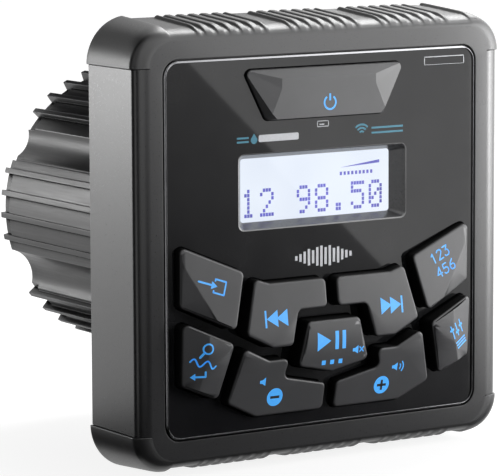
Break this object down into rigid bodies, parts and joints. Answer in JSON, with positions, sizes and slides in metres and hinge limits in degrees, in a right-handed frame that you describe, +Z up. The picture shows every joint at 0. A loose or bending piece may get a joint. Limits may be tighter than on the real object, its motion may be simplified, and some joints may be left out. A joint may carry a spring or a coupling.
{
  "type": "marine stereo",
  "caption": "Gauge-hole marine stereo: square bezel with ribbed bumpers, lit display and sprung push keys on a round finned body with rear studs and cable outlets.",
  "frame": {"origin": "on the round body's axis, in the plane of the bezel's back face that meets the dash", "axes": "+X to the right as seen from the front, +Y away from the viewer into the dash, +Z up"},
  "size_m": [0.1138, 0.1216, 0.1168],
  "materials": {
    "bezel": "fine grained moulded plastic",
    "bumper": "fine grained moulded plastic",
    "panel": "glossy black",
    "window": "clear",
    "lcd": "lit display",
    "backlight": "white light box",
    "key": "satin soft-touch plastic",
    "mat": "silicone",
    "switch": "stamped metal",
    "board": "solder mask",
    "connector": "moulded nylon",
    "screw": "plated steel",
    "body": "dark satin coat on cast aluminium",
    "seal": "moulded rubber",
    "gasket": "foamed rubber",
    "cover": "moulded plastic",
    "stud": "stainless steel",
    "gland": "moulded rubber",
    "chip": "moulded resin",
    "clamp": "plain aluminium",
    "capacitor": "sleeved aluminium can",
    "choke": "wound copper wire",
    "shield": "tinned steel"
  },
  "bodies": {
    "chassis": {"bezel_housing": "bezel", "top_bumper": "bumper", "bottom_bumper": "bumper", "front_panel": "panel", "display_window": "window", "lcd_panel": "lcd", "backlight": "backlight", "keypad_mat": "mat", "key_switches": "switch", "front_board": "board", "board_connector": "connector", "panel_screws": "screw", "heat_sink_body": "body", "body_seal": "seal", "lock_ring": "screw", "dash_gasket": "gasket", "rear_cover": "cover", "rear_screws": "screw", "mounting_studs": "stud", "harness_gland": "gland", "antenna_gland": "gland", "main_board": "board", "main_board_screws": "screw", "amplifier_chip": "chip", "amplifier_clamp": "clamp", "clamp_screws": "screw", "filter_capacitors": "capacitor", "power_choke": "choke", "tuner_module": "shield"},
    "key_power": {"key_power": "key"},
    "key_source": {"key_source": "key"},
    "key_band": {"key_band": "key"},
    "key_previous": {"key_previous": "key"},
    "key_next": {"key_next": "key"},
    "key_play": {"key_play": "key"},
    "key_volume_down": {"key_volume_down": "key"},
    "key_volume_up": {"key_volume_up": "key"},
    "key_preset": {"key_preset": "key"},
    "key_audio": {"key_audio": "key"}
  },
  "joints": [
    {"name": "press_power", "type": "slide", "parent": "chassis", "child": "key_power", "axis": [0, 1, 0], "range_m": [0, 0.0008], "stiffness_N_per_m": 1500},
    {"name": "press_source", "type": "slide", "parent": "chassis", "child": "key_source", "axis": [0, 1, 0], "range_m": [0, 0.0008], "stiffness_N_per_m": 1500},
    {"name": "press_band", "type": "slide", "parent": "chassis", "child": "key_band", "axis": [0, 1, 0], "range_m": [0, 0.0008], "stiffness_N_per_m": 1500},
    {"name": "press_previous", "type": "slide", "parent": "chassis", "child": "key_previous", "axis": [0, 1, 0], "range_m": [0, 0.0008], "stiffness_N_per_m": 1500},
    {"name": "press_next", "type": "slide", "parent": "chassis", "child": "key_next", "axis": [0, 1, 0], "range_m": [0, 0.0008], "stiffness_N_per_m": 1500},
    {"name": "press_play", "type": "slide", "parent": "chassis", "child": "key_play", "axis": [0, 1, 0], "range_m": [0, 0.0008], "stiffness_N_per_m": 1500},
    {"name": "press_volume_down", "type": "slide", "parent": "chassis", "child": "key_volume_down", "axis": [0, 1, 0], "range_m": [0, 0.0008], "stiffness_N_per_m": 1500},
    {"name": "press_volume_up", "type": "slide", "parent": "chassis", "child": "key_volume_up", "axis": [0, 1, 0], "range_m": [0, 0.0008], "stiffness_N_per_m": 1500},
    {"name": "press_preset", "type": "slide", "parent": "chassis", "child": "key_preset", "axis": [0, 1, 0], "range_m": [0, 0.0008], "stiffness_N_per_m": 1500},
    {"name": "press_audio", "type": "slide", "parent": "chassis", "child": "key_audio", "axis": [0, 1, 0], "range_m": [0, 0.0008], "stiffness_N_per_m": 1500}
  ]
}
